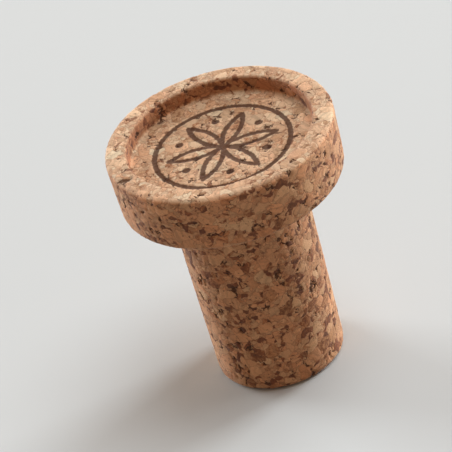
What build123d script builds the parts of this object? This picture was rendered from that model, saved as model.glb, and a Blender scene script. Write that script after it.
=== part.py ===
from build123d import *
import os

# A bottle stopper in one piece of pressed cork granules, in millimetres.
# A slightly tapered plug goes into the bottle's mouth. A wider round head sits on its lip, and
# has a shallow round recess turned into its top.
# The origin is the centre of the plug's end face, and +Z runs up through the head.

# Head: a disc whose side draws in a little towards its underside, which rests on the bottle's lip
head_top_diameter = 32.0
head_bottom_diameter = 31.3
head_thickness = 8.5
head_edge_radius = 0.7

# Recess in the top of the head, inside a flat rim
rim_width = 3.1
recess_depth = 2.4
rim_inner_edge_radius = 0.45
recess_floor_edge_radius = 0.4

# Plug: widest under the head, where it grips the mouth's bore
plug_length = 29.5
plug_top_diameter = 19.0
plug_end_diameter = 18.0
plug_end_edge_radius = 1.0
plug_root_radius = 0.5

# Heights above the plug's end face
seat_height = plug_length
top_height = seat_height + head_thickness
floor_height = top_height - recess_depth

# Distances from the axis
head_top_r = head_top_diameter / 2
head_bottom_r = head_bottom_diameter / 2
recess_r = head_top_r - rim_width
plug_top_r = plug_top_diameter / 2
plug_end_r = plug_end_diameter / 2


def half_section():
    """The stopper's section on one side of its axis: x is the distance from the axis, y the height."""
    axis_foot = (0, 0)
    plug_end = (plug_end_r, 0)
    plug_root = (plug_top_r, seat_height)
    head_bottom = (head_bottom_r, seat_height)
    head_top = (head_top_r, top_height)
    rim_inner = (recess_r, top_height)
    floor_edge = (recess_r, floor_height)
    floor_centre = (0, floor_height)
    outline = Polyline(
        axis_foot,
        plug_end,
        plug_root,
        head_bottom,
        head_top,
        rim_inner,
        floor_edge,
        floor_centre,
        close=True,
    )
    section = make_face(outline)
    rounded_corners = [
        (plug_end, plug_end_edge_radius),
        (plug_root, plug_root_radius),
        (head_bottom, head_edge_radius),
        (head_top, head_edge_radius),
        (rim_inner, rim_inner_edge_radius),
        (floor_edge, recess_floor_edge_radius),
    ]
    for corner, radius in rounded_corners:
        vertex = section.vertices().sort_by_distance(corner)[0]
        section = fillet(vertex, radius)
    return section


def cork_stopper():
    """The whole stopper, turned from its half section about the upright axis."""
    return revolve(Plane.XZ * half_section(), axis=Axis.Z)


os.makedirs("parts", exist_ok=True)
stopper = cork_stopper()
export_step(stopper, "parts/cork_stopper.step")
print("cork_stopper volume", round(stopper.volume), "mm3")
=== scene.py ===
import math
from collections import Counter
from types import SimpleNamespace

import bpy
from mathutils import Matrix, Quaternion, Vector


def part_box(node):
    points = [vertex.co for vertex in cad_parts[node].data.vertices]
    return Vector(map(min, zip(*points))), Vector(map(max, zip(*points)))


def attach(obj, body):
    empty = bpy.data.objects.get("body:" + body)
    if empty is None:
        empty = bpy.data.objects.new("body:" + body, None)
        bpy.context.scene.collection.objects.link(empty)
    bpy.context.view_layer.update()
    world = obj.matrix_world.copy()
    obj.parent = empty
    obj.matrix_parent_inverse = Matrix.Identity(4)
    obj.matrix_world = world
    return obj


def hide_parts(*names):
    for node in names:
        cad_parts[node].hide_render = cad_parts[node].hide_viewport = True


# A bottle stopper of pressed cork granules, standing on its plug with its head up.
# Lengths are in millimetres, and MM turns them into Blender's metres.
MM = 0.001

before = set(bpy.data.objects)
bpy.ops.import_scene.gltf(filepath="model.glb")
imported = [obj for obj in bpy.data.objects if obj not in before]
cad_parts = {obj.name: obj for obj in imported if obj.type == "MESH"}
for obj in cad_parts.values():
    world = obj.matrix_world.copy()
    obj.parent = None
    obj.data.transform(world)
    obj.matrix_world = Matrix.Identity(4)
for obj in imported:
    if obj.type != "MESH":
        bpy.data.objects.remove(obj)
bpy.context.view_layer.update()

# The stopper's section, from its axis outwards
TOP_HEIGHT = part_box("cork_stopper")[1].z / MM
HEAD_TOP_RADIUS = 16.0
HEAD_BOTTOM_RADIUS = 15.65
HEAD_THICKNESS = 8.5
HEAD_EDGE_RADIUS = 0.7
RIM_WIDTH = 3.1
RECESS_DEPTH = 2.4
RIM_INNER_EDGE_RADIUS = 0.45
RECESS_FLOOR_EDGE_RADIUS = 0.4
PLUG_TOP_RADIUS = 9.5
PLUG_END_RADIUS = 9.0
PLUG_END_EDGE_RADIUS = 1.0
PLUG_ROOT_RADIUS = 0.5
SEAT_HEIGHT = TOP_HEIGHT - HEAD_THICKNESS
FLOOR_HEIGHT = TOP_HEIGHT - RECESS_DEPTH
RECESS_RADIUS = HEAD_TOP_RADIUS - RIM_WIDTH

# Mesh: steps round the axis, and the longest steps along the section, which are short enough for the relief
STEPS_ROUND = 420
HEAD_STEP = 0.24
PLUG_STEP = 0.36
STEP_SLACK = 0.05  # the share of a step by which it may be longer
EDGE_SEGMENTS = 5
GRID_SIDES = 4  # the sides of the grid that fills a disc
FLAT_START = 0.01  # the flat between a rounded edge and the disc inside it
SAME_PLACE = 0.0005  # points that are nearer than this are one
SAME_LEVEL = 0.1  # an edge that is nearer than this to a level lies on it

# Cork: the sizes of its granules, which are 0.5 to 2 mm in a stopper, and of what shows inside and between
# them. The cells of cork are 0.04 mm across. Rows of them, and the grit that a cutter leaves of them, are
# too fine to show, so the rows are drawn as streaks 0.5 mm wide, and the grit 0.14 mm wide.
COARSE_GRANULE = 1.8
FINE_GRANULE = 0.8
FINE_SHARE = 0.6
PRESSED_FLATTER = 1.2
WARP_SIZE = 1.2
WARP_REACH = 0.7
GLUE_WIDTH = 0.08
GLUE_CORE = 0.02
GAP_PATCH = 1.5
GAP_WIDTH = 0.2
GAP_SLOPE = 0.08
STREAK_SIZE = 0.5
GRIT_SIZE = 0.14
MOTTLE_SIZE = 0.4
BARK_SIZE = 0.5
BLOTCH_SIZE = 5.0
NOISE_MIDDLE = 0.5

# Relief in the mesh, as depths below the turned surface
GLUE_DEPTH = 0.03
GAP_DEPTH = 0.16
GRANULE_STEP = 0.04

# Relief that is finer than the mesh, as heights in the material's bump
GAP_BUMP = 0.08
GLUE_BUMP = 0.03
GRIT_BUMP = 0.048
STREAK_BUMP = 0.024

# Rosette burnt into the floor of the recess: six petals drawn with a pair of compasses, in a ring
PETAL_LENGTH = 7.6
PETALS = 6
RING_RADIUS = 9.5
DOT_PLACE = 6.5
DOT_RADIUS = 0.6
BURNT_LINE = 0.75
BURNT_EDGE = 0.16
BURNT_FRAY = 0.35
BURNT_DEPTH = 0.12

# Tone of a granule: random, moved by which way its face looks, its size and its mottles, then spread over
# this range. Faces that look up are painted paler, as lit, and the side darker, as painted shade.
# the side's darker tone is painted shade, and the lesser one on faces that look up leaves them paler as
# painted light
PAINTED_SHADE_SIDE_TONE = -0.32
PAINTED_LIT_TOP_TONE = -0.19
COARSE_TONE = 0.09
MOTTLE_TONE = 0.42
DARKEST_TONE = -0.2
PALEST_TONE = 1.05

# Colours of cork, from bark to the palest granule, each at its share of the range of tones
CORK_TONES = [
    (0.0, "#52311E"),
    (0.1, "#6B442B"),
    (0.18, "#805638"),
    (0.215, "#986C4A"),
    (0.26, "#B8916D"),
    (0.42, "#CAA686"),
    (0.74, "#D2B08F"),
    (1.0, "#DEC5A5"),
]

# Tints that multiply those colours: granules lean from warm to cool, and the side and the recess's wall are
# tinted darker and browner as painted shade
WARM_TINT = "#FFF4ED"
COOL_TINT = "#F3FCFF"
PAINTED_SHADE_SIDE_TINT = "#FDE5D1"
# the recess wall's tint is painted shade
PAINTED_SHADE_WALL_TINT = "#DACBC0"

# Browns that lie over those colours, and how much of each shows
BARK_BROWN = "#6B4229"
BARK_SHARE = 0.75
GLUE_BROWN = "#8A5A3C"
GLUE_SHARE = 0.45
GAP_BROWN = "#4A2D1B"
GAP_SHARE = 0.85
BURNT_BROWN = "#4A2A18"
BURNT_SHARE = 0.9

# Ranges for Map Range nodes: sockets 1 and 2 are the values that come in, and 3 and 4 what they become
# from the side, painted darker as shade, to faces that look up, painted paler as light, with the rounded
# edges between painted paler as a highlight
FACING_UP_RANGE = {1: 0.25, 2: 0.85, 3: 0.0, 4: 1.0}
GAPS_OPEN = {1: 0.54, 2: 0.72, 3: 0.0, 4: GAP_WIDTH}
BARK_SHOWS = {1: 0.64, 2: 0.7, 3: 0.0, 4: BARK_SHARE}
STREAK_SHADE = {1: 0.3, 2: 0.6, 3: 0.82, 4: 1.06}
GRIT_SHADE = {1: 0.25, 2: 0.75, 3: 0.86, 4: 1.14}
BLOTCH_SHADE = {1: 0.3, 2: 0.7, 3: 1.0, 4: 1.11}

# Gloss: cut cork is matt, its gaps and burnt lines have none, and its torn cells catch a little light
CUT_ROUGHNESS = 0.8
OPEN_ROUGHNESS = 1.0
SHEEN = 0.1
SHEEN_ROUGHNESS = 0.4

# Camera: the side, tilt and distance of the photograph's view of the stopper
VIEW_ELEVATION = 33.7
VIEW_ROLL = 16.35
VIEW_DISTANCE = 36.0 * HEAD_TOP_RADIUS
VIEW_WIDTH = 62.0
SENSOR_WIDTH = 36.0
AIM = (-2.6, 0.0, 22.9)

# Studio
FLOOR_SIZE = 6000.0
FLOOR_GREY = "#CBD4D8"
PALE_GREY = "#DADAD8"
FADE_START = 120.0
FADE_END = 700.0
FLOOR_BOUNCE = "#9C9C9A"
FILL_LIGHT = "#9C8370"
LAMP_DISTANCE = 1400.0


def linear(hex_colour):
    """An sRGB colour such as #C69B79 as linear red, green and blue, with an alpha of 1."""
    shares = [int(hex_colour[i:i + 2], 16) / 255 for i in (1, 3, 5)]
    return [s / 12.92 if s <= 0.04045 else ((s + 0.055) / 1.055) ** 2.4 for s in shares] + [1.0]


def add(tree, kind, inputs=None, **settings):
    """Adds a node and gives its outputs. inputs maps a socket to a value or to the output that feeds it."""
    made = tree.nodes.new(kind)
    for name, value in settings.items():
        setattr(made, name, value)
    for socket, value in (inputs or {}).items():
        if isinstance(value, bpy.types.NodeSocket):
            tree.links.new(value, made.inputs[socket])
        else:
            made.inputs[socket].default_value = value
    return made.outputs


def deselect_all():
    """Leaves Object Mode with nothing selected."""
    if bpy.context.object and bpy.context.object.mode != "OBJECT":
        bpy.ops.object.mode_set(mode="OBJECT")
    bpy.ops.object.select_all(action="DESELECT")


def pick(obj, kind, wanted):
    """Selects, in Edit Mode, just the vertices or edges of obj for which wanted is true."""
    bpy.ops.mesh.select_mode(type="VERT" if kind == "vertices" else "EDGE")
    bpy.ops.mesh.select_all(action="DESELECT")
    bpy.ops.object.mode_set(mode="OBJECT")
    for item in getattr(obj.data, kind):
        item.select = wanted(item)
    bpy.ops.object.mode_set(mode="EDIT")


def draw_section(obj, corners):
    """Merges obj into one point, draws the section from it, edge by edge, and rounds its corners."""
    places = [Vector((x, 0, z)) * MM for x, z, radius in corners]
    bpy.ops.mesh.merge(type="CENTER")
    bpy.ops.transform.translate(value=places[0])
    for here, there in zip(places, places[1:]):
        bpy.ops.mesh.extrude_region_move(TRANSFORM_OT_translate={"value": there - here})
    for place, (x, z, radius) in zip(places, corners):
        if radius:
            pick(obj, "vertices", lambda vertex: (vertex.co - place).length < SAME_PLACE * MM)
            bpy.ops.mesh.bevel(offset=radius * MM, segments=EDGE_SEGMENTS, affect="VERTICES")


def cuts_of(obj, edge):
    """How many cuts bring an edge of the section down to the step of its place."""
    a, b = (obj.data.vertices[i].co / MM for i in edge.vertices)
    step = PLUG_STEP if min(a.z, b.z) < SEAT_HEIGHT - PLUG_ROOT_RADIUS else HEAD_STEP
    return math.ceil((b - a).length / step - STEP_SLACK) - 1


def divide_runs(obj):
    """Divides the straight runs of the section into steps."""
    bpy.ops.object.mode_set(mode="OBJECT")
    cuts = {edge.index: cuts_of(obj, edge) for edge in obj.data.edges}
    bpy.ops.object.mode_set(mode="EDIT")
    for index, number in cuts.items():
        if number > 0:
            pick(obj, "edges", lambda edge: edge.index == index)
            bpy.ops.mesh.subdivide(number_cuts=number)


def fill_disc(obj, height):
    """Closes the round opening at a height with a grid of quads."""
    bpy.ops.object.mode_set(mode="OBJECT")
    faces_at = Counter(key for face in obj.data.polygons for key in face.edge_keys)
    opening = set()
    for edge in obj.data.edges:
        level = obj.data.vertices[edge.vertices[0]].co.z / MM
        if faces_at[edge.key] == 1 and abs(level - height) < SAME_LEVEL:
            opening.add(edge.index)
    bpy.ops.object.mode_set(mode="EDIT")
    pick(obj, "edges", lambda edge: edge.index in opening)
    bpy.ops.mesh.fill_grid(span=STEPS_ROUND // GRID_SIDES)


def turned_stopper():
    """The stopper's skin: its section turned about the axis, with the two round faces filled in."""
    corners = [
        (PLUG_END_RADIUS - PLUG_END_EDGE_RADIUS - FLAT_START, 0, 0),
        (PLUG_END_RADIUS, 0, PLUG_END_EDGE_RADIUS),
        (PLUG_TOP_RADIUS, SEAT_HEIGHT, PLUG_ROOT_RADIUS),
        (HEAD_BOTTOM_RADIUS, SEAT_HEIGHT, HEAD_EDGE_RADIUS),
        (HEAD_TOP_RADIUS, TOP_HEIGHT, HEAD_EDGE_RADIUS),
        (RECESS_RADIUS, TOP_HEIGHT, RIM_INNER_EDGE_RADIUS),
        (RECESS_RADIUS, FLOOR_HEIGHT, RECESS_FLOOR_EDGE_RADIUS),
        (RECESS_RADIUS - RECESS_FLOOR_EDGE_RADIUS - FLAT_START, FLOOR_HEIGHT, 0),
    ]
    deselect_all()
    bpy.ops.mesh.primitive_circle_add(vertices=3, radius=1 * MM)
    stopper = bpy.context.object
    stopper.name = "stopper"
    bpy.ops.object.mode_set(mode="EDIT")
    draw_section(stopper, corners)
    divide_runs(stopper)
    bpy.ops.object.mode_set(mode="OBJECT")
    turn = stopper.modifiers.new("turn", "SCREW")
    turn.axis = "Z"
    turn.angle = 2 * math.pi
    turn.steps = STEPS_ROUND
    turn.render_steps = STEPS_ROUND
    turn.use_merge_vertices = True
    turn.merge_threshold = SAME_PLACE * MM
    bpy.ops.object.modifier_apply(modifier=turn.name)
    bpy.ops.object.mode_set(mode="EDIT")
    fill_disc(stopper, 0)
    fill_disc(stopper, FLOOR_HEIGHT)
    bpy.ops.mesh.select_all(action="SELECT")
    bpy.ops.mesh.remove_doubles(threshold=SAME_PLACE * MM)
    bpy.ops.mesh.normals_make_consistent(inside=False)
    bpy.ops.object.mode_set(mode="OBJECT")
    bpy.ops.object.shade_smooth()
    return stopper


def granules(tree, position):
    """The pressed granules at a position in metres, for the relief and the material alike.

    Gives the position in mm, plain (place) and warped as the granules are (bent), a random vector that
    is even over each granule, the distance in mm to the granule's edge, the open gaps between granules,
    where gap is 1, and is_fine, which is 1 on fine granules and 0 on coarse ones."""
    place = add(tree, "ShaderNodeVectorMath", {0: position, "Scale": 1 / MM}, operation="SCALE")[0]
    warp = add(tree, "ShaderNodeTexNoise", {"Vector": place, "Scale": 1 / WARP_SIZE, "Detail": 2.0})["Color"]
    centred = add(tree, "ShaderNodeVectorMath", {0: warp, 1: [NOISE_MIDDLE] * 3}, operation="SUBTRACT")[0]
    reach = [2 * WARP_REACH] * 3
    bent = add(tree, "ShaderNodeVectorMath", {0: centred, 1: reach, 2: place}, operation="MULTIPLY_ADD")[0]
    flatter = (1, 1, PRESSED_FLATTER)
    pressed = add(tree, "ShaderNodeVectorMath", {0: bent, 1: flatter}, operation="MULTIPLY")[0]
    cells = {}
    for size in (COARSE_GRANULE, FINE_GRANULE):
        where = {"Vector": pressed, "Scale": 1 / size}
        random = add(tree, "ShaderNodeTexVoronoi", where, feature="F1")["Color"]
        edge = add(tree, "ShaderNodeTexVoronoi", where, feature="DISTANCE_TO_EDGE")["Distance"]
        cells[size] = random, add(tree, "ShaderNodeMath", {0: edge, 1: size}, operation="MULTIPLY")[0]
    coarse_random, coarse_edge = cells[COARSE_GRANULE]
    fine_random, fine_edge = cells[FINE_GRANULE]

    # a share of the coarse granules is broken up into fine ones
    share = add(tree, "ShaderNodeSeparateXYZ", {0: coarse_random})[0]
    is_fine = add(tree, "ShaderNodeMath", {0: share, 1: 1 - FINE_SHARE}, operation="GREATER_THAN")[0]
    both = {0: is_fine, 4: coarse_random, 5: fine_random}
    random = add(tree, "ShaderNodeMix", both, data_type="VECTOR")[1]
    nearest = add(tree, "ShaderNodeMath", {0: coarse_edge, 1: fine_edge}, operation="MINIMUM")[0]
    edge = add(tree, "ShaderNodeMix", {0: is_fine, 2: coarse_edge, 3: nearest})[0]

    # gaps open along the edges of granules, in patches
    patch = add(tree, "ShaderNodeTexNoise", {"Vector": place, "Scale": 1 / GAP_PATCH, "Detail": 3.0})["Fac"]
    opening = {"Value": patch, **GAPS_OPEN}
    width = add(tree, "ShaderNodeMapRange", opening, interpolation_type="SMOOTHSTEP")[0]
    inside = add(tree, "ShaderNodeMath", {0: width, 1: edge}, operation="SUBTRACT")[0]
    sloping = {"Value": inside, 1: 0.0, 2: GAP_SLOPE, 3: 0.0, 4: 1.0}
    gap = add(tree, "ShaderNodeMapRange", sloping, interpolation_type="SMOOTHSTEP")[0]
    return SimpleNamespace(place=place, bent=bent, random=random, edge=edge, gap=gap, is_fine=is_fine)


def round_place(tree, place):
    """A position's distance from the stopper's axis, its angle round the axis and its height."""
    x, y, height = add(tree, "ShaderNodeSeparateXYZ", {0: place})[:]
    flat = add(tree, "ShaderNodeCombineXYZ", {0: x, 1: y})[0]
    radius = add(tree, "ShaderNodeVectorMath", {0: flat}, operation="LENGTH")["Value"]
    angle = add(tree, "ShaderNodeMath", {0: y, 1: x}, operation="ARCTAN2")[0]
    return radius, angle, height


def rosette(tree, place, radius, angle, height):
    """A rosette on the recess's floor, for a position in mm: 1 on its burnt lines and dots.

    Every position is turned and mirrored into the first half petal, where the drawing is one arc."""
    half_petal = math.pi / PETALS
    folded = add(tree, "ShaderNodeMath", {0: angle, 1: half_petal}, operation="PINGPONG")[0]
    cosine = add(tree, "ShaderNodeMath", {0: folded}, operation="COSINE")[0]
    sine = add(tree, "ShaderNodeMath", {0: folded}, operation="SINE")[0]
    direction = add(tree, "ShaderNodeCombineXYZ", {0: cosine, 1: sine})[0]
    point = add(tree, "ShaderNodeVectorMath", {0: direction, "Scale": radius}, operation="SCALE")[0]

    arc_centre = (PETAL_LENGTH * math.cos(2 * half_petal), -PETAL_LENGTH * math.sin(2 * half_petal), 0)
    to_arc = add(tree, "ShaderNodeVectorMath", {0: point, 1: arc_centre}, operation="DISTANCE")["Value"]
    off_arc = add(tree, "ShaderNodeMath", {0: to_arc, 1: PETAL_LENGTH}, operation="SUBTRACT")[0]
    off_arc = add(tree, "ShaderNodeMath", {0: off_arc}, operation="ABSOLUTE")[0]
    past_tip = add(tree, "ShaderNodeMath", {0: radius, 1: PETAL_LENGTH}, operation="SUBTRACT")[0]
    petal = add(tree, "ShaderNodeMath", {0: off_arc, 1: past_tip}, operation="MAXIMUM")[0]
    off_ring = add(tree, "ShaderNodeMath", {0: radius, 1: RING_RADIUS}, operation="SUBTRACT")[0]
    ring = add(tree, "ShaderNodeMath", {0: off_ring}, operation="ABSOLUTE")[0]
    dot_centre = (DOT_PLACE * math.cos(half_petal), DOT_PLACE * math.sin(half_petal), 0)
    to_dot = add(tree, "ShaderNodeVectorMath", {0: point, 1: dot_centre}, operation="DISTANCE")["Value"]
    past_line = {0: to_dot, 1: DOT_RADIUS - BURNT_LINE / 2}
    dot = add(tree, "ShaderNodeMath", past_line, operation="SUBTRACT")[0]
    nearest = add(tree, "ShaderNodeMath", {0: petal, 1: ring}, operation="MINIMUM")[0]
    nearest = add(tree, "ShaderNodeMath", {0: nearest, 1: dot}, operation="MINIMUM")[0]

    fray_at = {"Vector": place, "Scale": 1 / MOTTLE_SIZE, "Detail": 2.0}
    fray = add(tree, "ShaderNodeTexNoise", fray_at)["Fac"]
    centred = add(tree, "ShaderNodeMath", {0: fray, 1: NOISE_MIDDLE}, operation="SUBTRACT")[0]
    uneven = {0: centred, 1: BURNT_FRAY, 2: nearest}
    frayed = add(tree, "ShaderNodeMath", uneven, operation="MULTIPLY_ADD")[0]
    line_edge = {
        "Value": frayed,
        1: (BURNT_LINE - BURNT_EDGE) / 2,
        2: (BURNT_LINE + BURNT_EDGE) / 2,
        3: 1.0,
        4: 0.0,
    }
    burnt = add(tree, "ShaderNodeMapRange", line_edge, interpolation_type="SMOOTHSTEP")[0]
    in_recess = add(tree, "ShaderNodeMath", {0: height, 1: SEAT_HEIGHT}, operation="GREATER_THAN")[0]
    return add(tree, "ShaderNodeMath", {0: burnt, 1: in_recess}, operation="MULTIPLY")[0]


def press_relief(stopper):
    """Sinks glue joints, gaps, burnt lines and, a little, some granules below the turned surface.

    It marks each point with an attribute that is 1 on faces that look up and 0 on the side, by which the
    material paints the top and rounded edges paler as light and the side darker and redder as shade."""
    tree = bpy.data.node_groups.new("granule relief", "GeometryNodeTree")
    tree.interface.new_socket("Geometry", in_out="INPUT", socket_type="NodeSocketGeometry")
    tree.interface.new_socket("Geometry", in_out="OUTPUT", socket_type="NodeSocketGeometry")
    mesh = add(tree, "NodeGroupInput")[0]
    position = add(tree, "GeometryNodeInputPosition")[0]
    normal = add(tree, "GeometryNodeInputNormal")[0]
    cork = granules(tree, position)
    glue_from = {"Value": cork.edge, 1: 0.0, 2: 2 * GLUE_WIDTH, 3: GLUE_DEPTH, 4: 0.0}
    glue = add(tree, "ShaderNodeMapRange", glue_from, interpolation_type="SMOOTHSTEP")[0]
    share = add(tree, "ShaderNodeSeparateXYZ", {0: cork.random})[2]
    depth = add(tree, "ShaderNodeMath", {0: share, 1: GRANULE_STEP, 2: glue}, operation="MULTIPLY_ADD")[0]
    depth = add(tree, "ShaderNodeMath", {0: cork.gap, 1: GAP_DEPTH, 2: depth}, operation="MULTIPLY_ADD")[0]
    burnt = rosette(tree, cork.place, *round_place(tree, cork.place))
    depth = add(tree, "ShaderNodeMath", {0: burnt, 1: BURNT_DEPTH, 2: depth}, operation="MULTIPLY_ADD")[0]
    metres = add(tree, "ShaderNodeMath", {0: depth, 1: -MM}, operation="MULTIPLY")[0]
    offset = add(tree, "ShaderNodeVectorMath", {0: normal, "Scale": metres}, operation="SCALE")[0]

    # which way each point faces: the material paints the top and rounded edges paler as light and the side
    # darker as shade
    upward = add(tree, "ShaderNodeSeparateXYZ", {0: normal})[2]
    facing_up_from = {"Value": upward, **FACING_UP_RANGE}
    facing_up = add(tree, "ShaderNodeMapRange", facing_up_from, interpolation_type="SMOOTHSTEP")[0]
    mark = {"Geometry": mesh, "Name": "facing_up", "Value": facing_up}
    marked = add(tree, "GeometryNodeStoreNamedAttribute", mark, data_type="FLOAT", domain="POINT")[0]
    moved = add(tree, "GeometryNodeSetPosition", {"Geometry": marked, "Offset": offset})[0]
    add(tree, "NodeGroupOutput", {0: moved})
    relief = stopper.modifiers.new("relief", "NODES")
    relief.node_group = tree
    bpy.ops.object.modifier_apply(modifier=relief.name)
    bpy.data.node_groups.remove(tree)


def pressed_cork():
    """Pressed cork, also called agglomerated cork: bark of the cork oak, ground to granules and glued
    under pressure into a block, then turned, given a sanding on its top and burnt with a hot die.

    To the eye it is matt and warm: pale and brown granules that each have their own tone and streaks, with
    thin glue joints, dark bits of bark and open gaps between them. Faces that look up and their rounded
    edges are painted paler, as light falls on them, the side darker and redder and the recess's wall
    browner, as painted shade, and the burnt lines are dark, sunk and dull."""
    material = bpy.data.materials.new("pressed cork")
    material.use_nodes = True
    tree = material.node_tree
    tree.nodes.clear()
    cork = granules(tree, add(tree, "ShaderNodeTexCoord")["Object"])
    # 1 where faces look up: the tone and tint below paint these paler as light and the side darker as shade
    facing_up = add(tree, "ShaderNodeAttribute", attribute_name="facing_up")["Fac"]

    # each granule's tone
    tone, lean = add(tree, "ShaderNodeSeparateXYZ", {0: cork.random})[1:]
    # faces that look up get a paler tone, as painted light, and the side a darker one, as painted shade
    darker = add(tree, "ShaderNodeMix", {0: facing_up, 2: PAINTED_SHADE_SIDE_TONE, 3: PAINTED_LIT_TOP_TONE})[0]
    tone = add(tree, "ShaderNodeMath", {0: tone, 1: darker}, operation="ADD")[0]
    paler = add(tree, "ShaderNodeMix", {0: cork.is_fine, 2: COARSE_TONE, 3: 0.0})[0]
    tone = add(tree, "ShaderNodeMath", {0: tone, 1: paler}, operation="ADD")[0]
    mottles_at = {"Vector": cork.bent, "Scale": 1 / MOTTLE_SIZE, "Detail": 3.0}
    mottles = add(tree, "ShaderNodeTexNoise", mottles_at)["Fac"]
    tone = add(tree, "ShaderNodeMath", {0: mottles, 1: MOTTLE_TONE, 2: tone}, operation="MULTIPLY_ADD")[0]
    tone = add(tree, "ShaderNodeMapRange", {"Value": tone, 1: DARKEST_TONE, 2: PALEST_TONE})[0]
    colour = add(tree, "ShaderNodeValToRGB", {"Fac": tone})["Color"]
    ramp = colour.node.color_ramp
    for element, (share, hex_colour) in zip(ramp.elements, (CORK_TONES[0], CORK_TONES[-1])):
        element.position = share
        element.color = linear(hex_colour)
    for share, hex_colour in CORK_TONES[1:-1]:
        ramp.elements.new(share).color = linear(hex_colour)

    # streaks that run another way in each granule, grit, and blotches many granules wide
    middle = [NOISE_MIDDLE] * 3
    centred = add(tree, "ShaderNodeVectorMath", {0: cork.random, 1: middle}, operation="SUBTRACT")[0]
    across = add(tree, "ShaderNodeVectorMath", {0: centred}, operation="NORMALIZE")[0]
    along = add(tree, "ShaderNodeVectorMath", {0: cork.bent, 1: across}, operation="DOT_PRODUCT")["Value"]
    streaks_at = {"W": along, "Scale": 1 / STREAK_SIZE, "Detail": 1.0}
    streaks = add(tree, "ShaderNodeTexNoise", streaks_at, noise_dimensions="1D")["Fac"]
    grit_at = {"Vector": cork.place, "Scale": 1 / GRIT_SIZE, "Detail": 3.0}
    grit = add(tree, "ShaderNodeTexNoise", grit_at)["Fac"]
    blotches_at = {"Vector": cork.place, "Scale": 1 / BLOTCH_SIZE, "Detail": 1.0}
    blotches = add(tree, "ShaderNodeTexNoise", blotches_at)["Fac"]
    for pattern, shade_range in ((streaks, STREAK_SHADE), (grit, GRIT_SHADE), (blotches, BLOTCH_SHADE)):
        shade = add(tree, "ShaderNodeMapRange", {"Value": pattern, **shade_range})[0]
        colour = add(tree, "ShaderNodeVectorMath", {0: colour, "Scale": shade}, operation="SCALE")[0]

    # where the side and the recess's wall are, which the layers below tint darker and browner as painted
    # shade
    on_side = add(tree, "ShaderNodeMath", {0: 1.0, 1: facing_up}, operation="SUBTRACT")[0]
    radius, angle, height = round_place(tree, cork.place)
    # the recess's wall, which a layer below tints darker as painted shade
    inward_from = {"Value": radius, 1: RECESS_RADIUS + RIM_INNER_EDGE_RADIUS, 2: RECESS_RADIUS}
    inward = add(tree, "ShaderNodeMapRange", inward_from)[0]
    above_from = {"Value": height, 1: FLOOR_HEIGHT, 2: FLOOR_HEIGHT + RECESS_FLOOR_EDGE_RADIUS}
    above = add(tree, "ShaderNodeMapRange", above_from)[0]
    on_wall = add(tree, "ShaderNodeMath", {0: inward, 1: above}, operation="MULTIPLY")[0]

    # where dark bark, glue, gaps and the burnt lines show
    bark_at = {"Vector": cork.place, "Scale": 1 / BARK_SIZE, "Detail": 2.0}
    bark_noise = add(tree, "ShaderNodeTexNoise", bark_at)["Fac"]
    bark = add(tree, "ShaderNodeMapRange", {"Value": bark_noise, **BARK_SHOWS})[0]
    glue_from = {"Value": cork.edge, 1: GLUE_CORE, 2: GLUE_WIDTH, 3: GLUE_SHARE, 4: 0.0}
    glue = add(tree, "ShaderNodeMapRange", glue_from)[0]
    open_gap = add(tree, "ShaderNodeMath", {0: cork.gap, 1: GAP_SHARE}, operation="MULTIPLY")[0]
    burnt = rosette(tree, cork.place, radius, angle, height)
    scorched = add(tree, "ShaderNodeMath", {0: burnt, 1: BURNT_SHARE}, operation="MULTIPLY")[0]

    # the layers of colour over a granule's tone, from the lowest up
    leans = {0: lean, 6: linear(WARM_TINT), 7: linear(COOL_TINT)}
    granule_tint = add(tree, "ShaderNodeMix", leans, data_type="RGBA")[2]
    layers = [
        (1.0, granule_tint, "MULTIPLY"),
        # the side's tint is painted shade, darker and redder
        (on_side, linear(PAINTED_SHADE_SIDE_TINT), "MULTIPLY"),
        (bark, linear(BARK_BROWN), "MIX"),
        (glue, linear(GLUE_BROWN), "MIX"),
        (open_gap, linear(GAP_BROWN), "MIX"),
        # the recess wall's tint is painted shade
        (on_wall, linear(PAINTED_SHADE_WALL_TINT), "MULTIPLY"),
        (scorched, linear(BURNT_BROWN), "MIX"),
    ]
    for share, layer, blend in layers:
        laid = {0: share, 6: colour, 7: layer}
        colour = add(tree, "ShaderNodeMix", laid, data_type="RGBA", blend_type=blend)[2]

    # bump and gloss
    bump_height = 0.0
    rises = [(cork.gap, -GAP_BUMP), (glue, -GLUE_BUMP), (grit, GRIT_BUMP), (streaks, STREAK_BUMP)]
    for pattern, rise in rises:
        raised = {0: pattern, 1: rise * MM, 2: bump_height}
        bump_height = add(tree, "ShaderNodeMath", raised, operation="MULTIPLY_ADD")[0]
    bump = add(tree, "ShaderNodeBump", {"Strength": 1.0, "Distance": 1.0, "Height": bump_height})[0]

    dull = add(tree, "ShaderNodeMath", {0: cork.gap, 1: burnt}, operation="MAXIMUM")[0]
    roughness = add(tree, "ShaderNodeMapRange", {"Value": dull, 3: CUT_ROUGHNESS, 4: OPEN_ROUGHNESS})[0]
    surface = {
        "Base Color": colour,
        "Roughness": roughness,
        "Normal": bump,
        "Sheen Weight": SHEEN,
        "Sheen Roughness": SHEEN_ROUGHNESS,
    }
    shader = add(tree, "ShaderNodeBsdfPrincipled", surface)[0]
    add(tree, "ShaderNodeOutputMaterial", {"Surface": shader})
    return material


def seen_by_camera(tree):
    """1 for what the camera sees, also in gloss or through glass, and 0 for light on its way elsewhere."""
    path = add(tree, "ShaderNodeLightPath")
    direct_or_gloss = {0: path["Is Camera Ray"], 1: path["Is Glossy Ray"]}
    seen = add(tree, "ShaderNodeMath", direct_or_gloss, operation="MAXIMUM")[0]
    return add(tree, "ShaderNodeMath", {0: seen, 1: path["Is Transmission Ray"]}, operation="MAXIMUM")[0]


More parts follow.
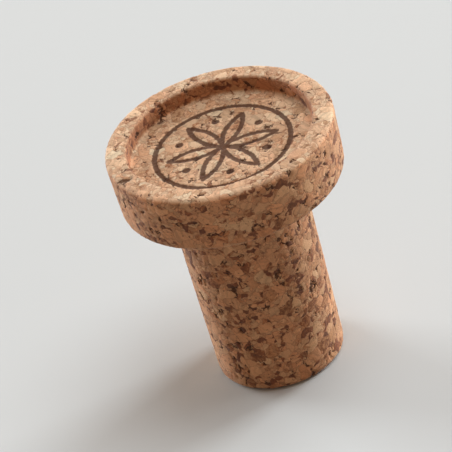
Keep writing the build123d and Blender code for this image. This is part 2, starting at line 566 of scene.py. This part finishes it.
def studio_floor():
    """A plain pale floor of matt, uncoated studio paper, which has an even colour and no gloss.

    It fades into the grey of the backdrop away from the stopper, and looks paler to the camera than the
    light that it sends back to the stopper."""
    deselect_all()
    bpy.ops.mesh.primitive_plane_add(size=FLOOR_SIZE * MM)
    floor = bpy.context.object
    floor.name = "studio_floor"
    material = bpy.data.materials.new("matt studio paper")
    material.use_nodes = True
    tree = material.node_tree
    tree.nodes.clear()
    seen = seen_by_camera(tree)
    greys = {0: seen, 6: linear(FLOOR_BOUNCE), 7: linear(FLOOR_GREY)}
    grey = add(tree, "ShaderNodeMix", greys, data_type="RGBA")[2]
    paper = add(tree, "ShaderNodeBsdfDiffuse", {"Color": grey})[0]
    backdrop = add(tree, "ShaderNodeEmission", {"Color": linear(PALE_GREY), "Strength": 1.0})[0]
    position = add(tree, "ShaderNodeTexCoord")["Object"]
    away = add(tree, "ShaderNodeVectorMath", {0: position}, operation="LENGTH")["Value"]
    fade_from = {"Value": away, 1: FADE_START * MM, 2: FADE_END * MM}
    fade = add(tree, "ShaderNodeMapRange", fade_from, interpolation_type="SMOOTHSTEP")[0]
    share = add(tree, "ShaderNodeMath", {0: fade, 1: seen}, operation="MULTIPLY")[0]
    shader = add(tree, "ShaderNodeMixShader", {0: share, 1: paper, 2: backdrop})[0]
    add(tree, "ShaderNodeOutputMaterial", {"Surface": shader})
    floor.data.materials.append(material)


def studio_world():
    """Even light from all round, and the backdrop's pale grey wherever the camera looks past the floor."""
    world = bpy.data.worlds.new("studio")
    bpy.context.scene.world = world
    world.use_nodes = True
    tree = world.node_tree
    tree.nodes.clear()
    seen = seen_by_camera(tree)
    greys = {0: seen, 6: linear(FILL_LIGHT), 7: linear(PALE_GREY)}
    grey = add(tree, "ShaderNodeMix", greys, data_type="RGBA")[2]
    shader = add(tree, "ShaderNodeBackground", {"Color": grey, "Strength": 1.0})[0]
    add(tree, "ShaderNodeOutputWorld", {"Surface": shader})


def softbox(name, azimuth, elevation, size, light):
    """A square soft lamp, turned towards the stopper. Its azimuth is counted from +X towards +Y.

    Its light is what a surface that faces it gets, as a share of what shows a colour as it is written,
    which a lamp of pi squared watts gives at a distance of one metre."""
    data = bpy.data.lights.new(name, "AREA")
    data.shape = "SQUARE"
    data.size = size * MM
    data.energy = light * math.pi ** 2 * (LAMP_DISTANCE * MM) ** 2
    lamp = bpy.data.objects.new(name, data)
    bpy.context.scene.collection.objects.link(lamp)
    turn, lift = math.radians(azimuth), math.radians(elevation)
    away = Vector((math.cos(lift) * math.cos(turn), math.cos(lift) * math.sin(turn), math.sin(lift)))
    lamp.location = (Vector(AIM) + away * LAMP_DISTANCE) * MM
    lamp.rotation_euler = (-away).to_track_quat("-Z", "Y").to_euler()


def view_camera():
    """The camera on the photograph's side of the stopper, turned as the stopper leans there."""
    data = bpy.data.cameras.new("view")
    data.sensor_width = SENSOR_WIDTH
    data.lens = SENSOR_WIDTH * VIEW_DISTANCE / VIEW_WIDTH
    camera = bpy.data.objects.new("view", data)
    bpy.context.scene.collection.objects.link(camera)
    lift = math.radians(VIEW_ELEVATION)
    away = Vector((0, -math.cos(lift), math.sin(lift)))
    camera.location = (Vector(AIM) + away * VIEW_DISTANCE) * MM
    level = (-away).to_track_quat("-Z", "Y")
    roll = Quaternion((0, 0, 1), -math.radians(VIEW_ROLL))
    camera.rotation_euler = (level @ roll).to_euler()
    bpy.context.scene.camera = camera


view_camera()
stopper = turned_stopper()
press_relief(stopper)
stopper.data.materials.clear()
stopper.data.materials.append(pressed_cork())
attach(stopper, "root")
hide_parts("cork_stopper")

studio_floor()
studio_world()
softbox("softbox overhead", azimuth=10, elevation=72, size=900, light=0.55)
softbox("softbox on the right", azimuth=26, elevation=10, size=500, light=1.18)
softbox("softbox on the left", azimuth=134, elevation=10, size=600, light=1.06)

bpy.context.scene.view_settings.view_transform = "Standard"
